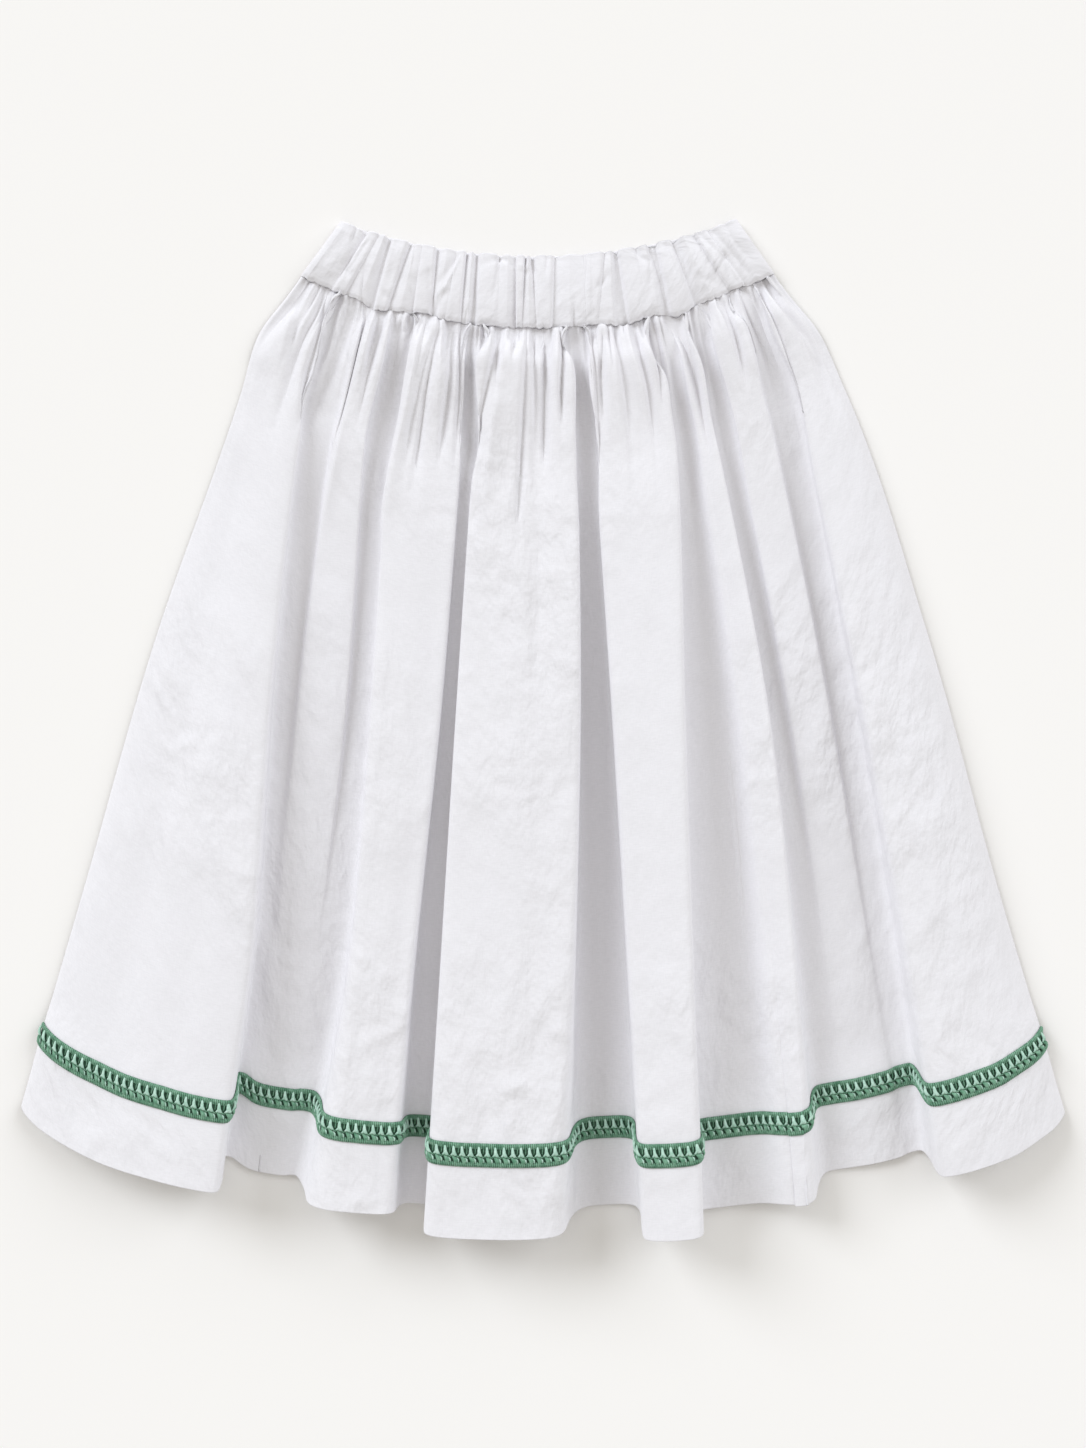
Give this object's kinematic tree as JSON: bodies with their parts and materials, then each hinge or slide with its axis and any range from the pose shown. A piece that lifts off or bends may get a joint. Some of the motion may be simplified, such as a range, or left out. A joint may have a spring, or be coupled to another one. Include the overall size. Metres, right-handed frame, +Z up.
{
  "type": "gathered skirt",
  "caption": "White cotton gathered midi skirt laid flat, with an elastic casing waistband, full fluted folds and green braid above the hem",
  "frame": {"origin": "centre of the skirt's footprint, on the surface that it lies on", "axes": "+X across the skirt towards the wearer's left, +Y towards the waist, +Z up from the surface through the back panel to the front panel"},
  "size_m": [0.7922, 0.764, 0.0492],
  "materials": {
    "cotton_waistband": "matte white plain-weave cotton",
    "cotton_front": "matte white plain-weave cotton",
    "cotton_back": "matte white plain-weave cotton",
    "braid_front": "green crocheted braid",
    "braid_back": "green crocheted braid"
  },
  "bodies": {
    "root": {"waistband": "cotton_waistband", "front_panel": "cotton_front", "back_panel": "cotton_back", "trim_front": "braid_front", "trim_back": "braid_back"}
  },
  "joints": []
}
